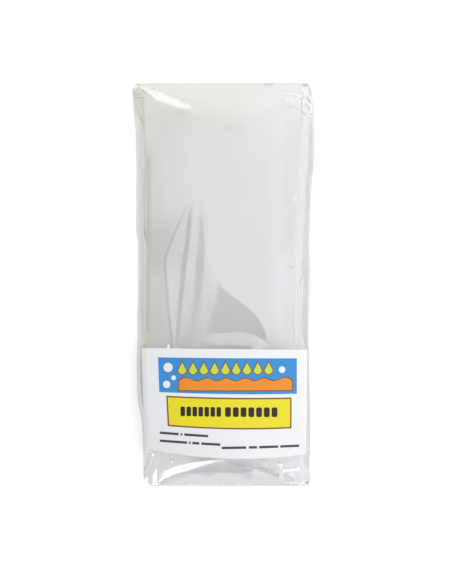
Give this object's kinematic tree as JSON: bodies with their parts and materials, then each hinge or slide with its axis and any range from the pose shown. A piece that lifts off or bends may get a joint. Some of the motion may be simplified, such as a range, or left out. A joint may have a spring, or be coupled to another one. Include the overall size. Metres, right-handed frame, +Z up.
{
  "type": "clear plastic film bag",
  "caption": "Long flat bag of clear glossy film, puffed with air and sealed at both ends, with a printed paper label round its foot end.",
  "frame": {"origin": "under the middle of the bag, on the surface that its back lies on", "axes": "+Z up from the back to the crowned front, +Y along the bag to its mouth, +X across the front, to the right with the mouth away from the viewer"},
  "size_m": [0.1009, 0.222, 0.0156],
  "materials": {
    "clear_film": "thin clear film, glossy",
    "label_paper": "smooth white label paper",
    "print_blue": "blue print on paper",
    "print_lime": "yellow-green print on paper",
    "print_orange": "orange print on paper",
    "print_brown": "brown print on paper",
    "print_yellow": "yellow print on paper",
    "print_grey": "dark grey print on paper",
    "print_dark": "near-black print on paper"
  },
  "bodies": {
    "root": {"film_bag": "clear_film", "label_sheet": "label_paper", "print_banner": "print_blue", "print_drops": "print_lime", "print_wave": "print_orange", "print_motif_edges": "print_brown", "print_bubbles": "label_paper", "print_title_border": "print_brown", "print_title_panel": "print_yellow", "print_title_blocks": "print_dark", "print_small_bars": "print_grey"}
  },
  "joints": []
}
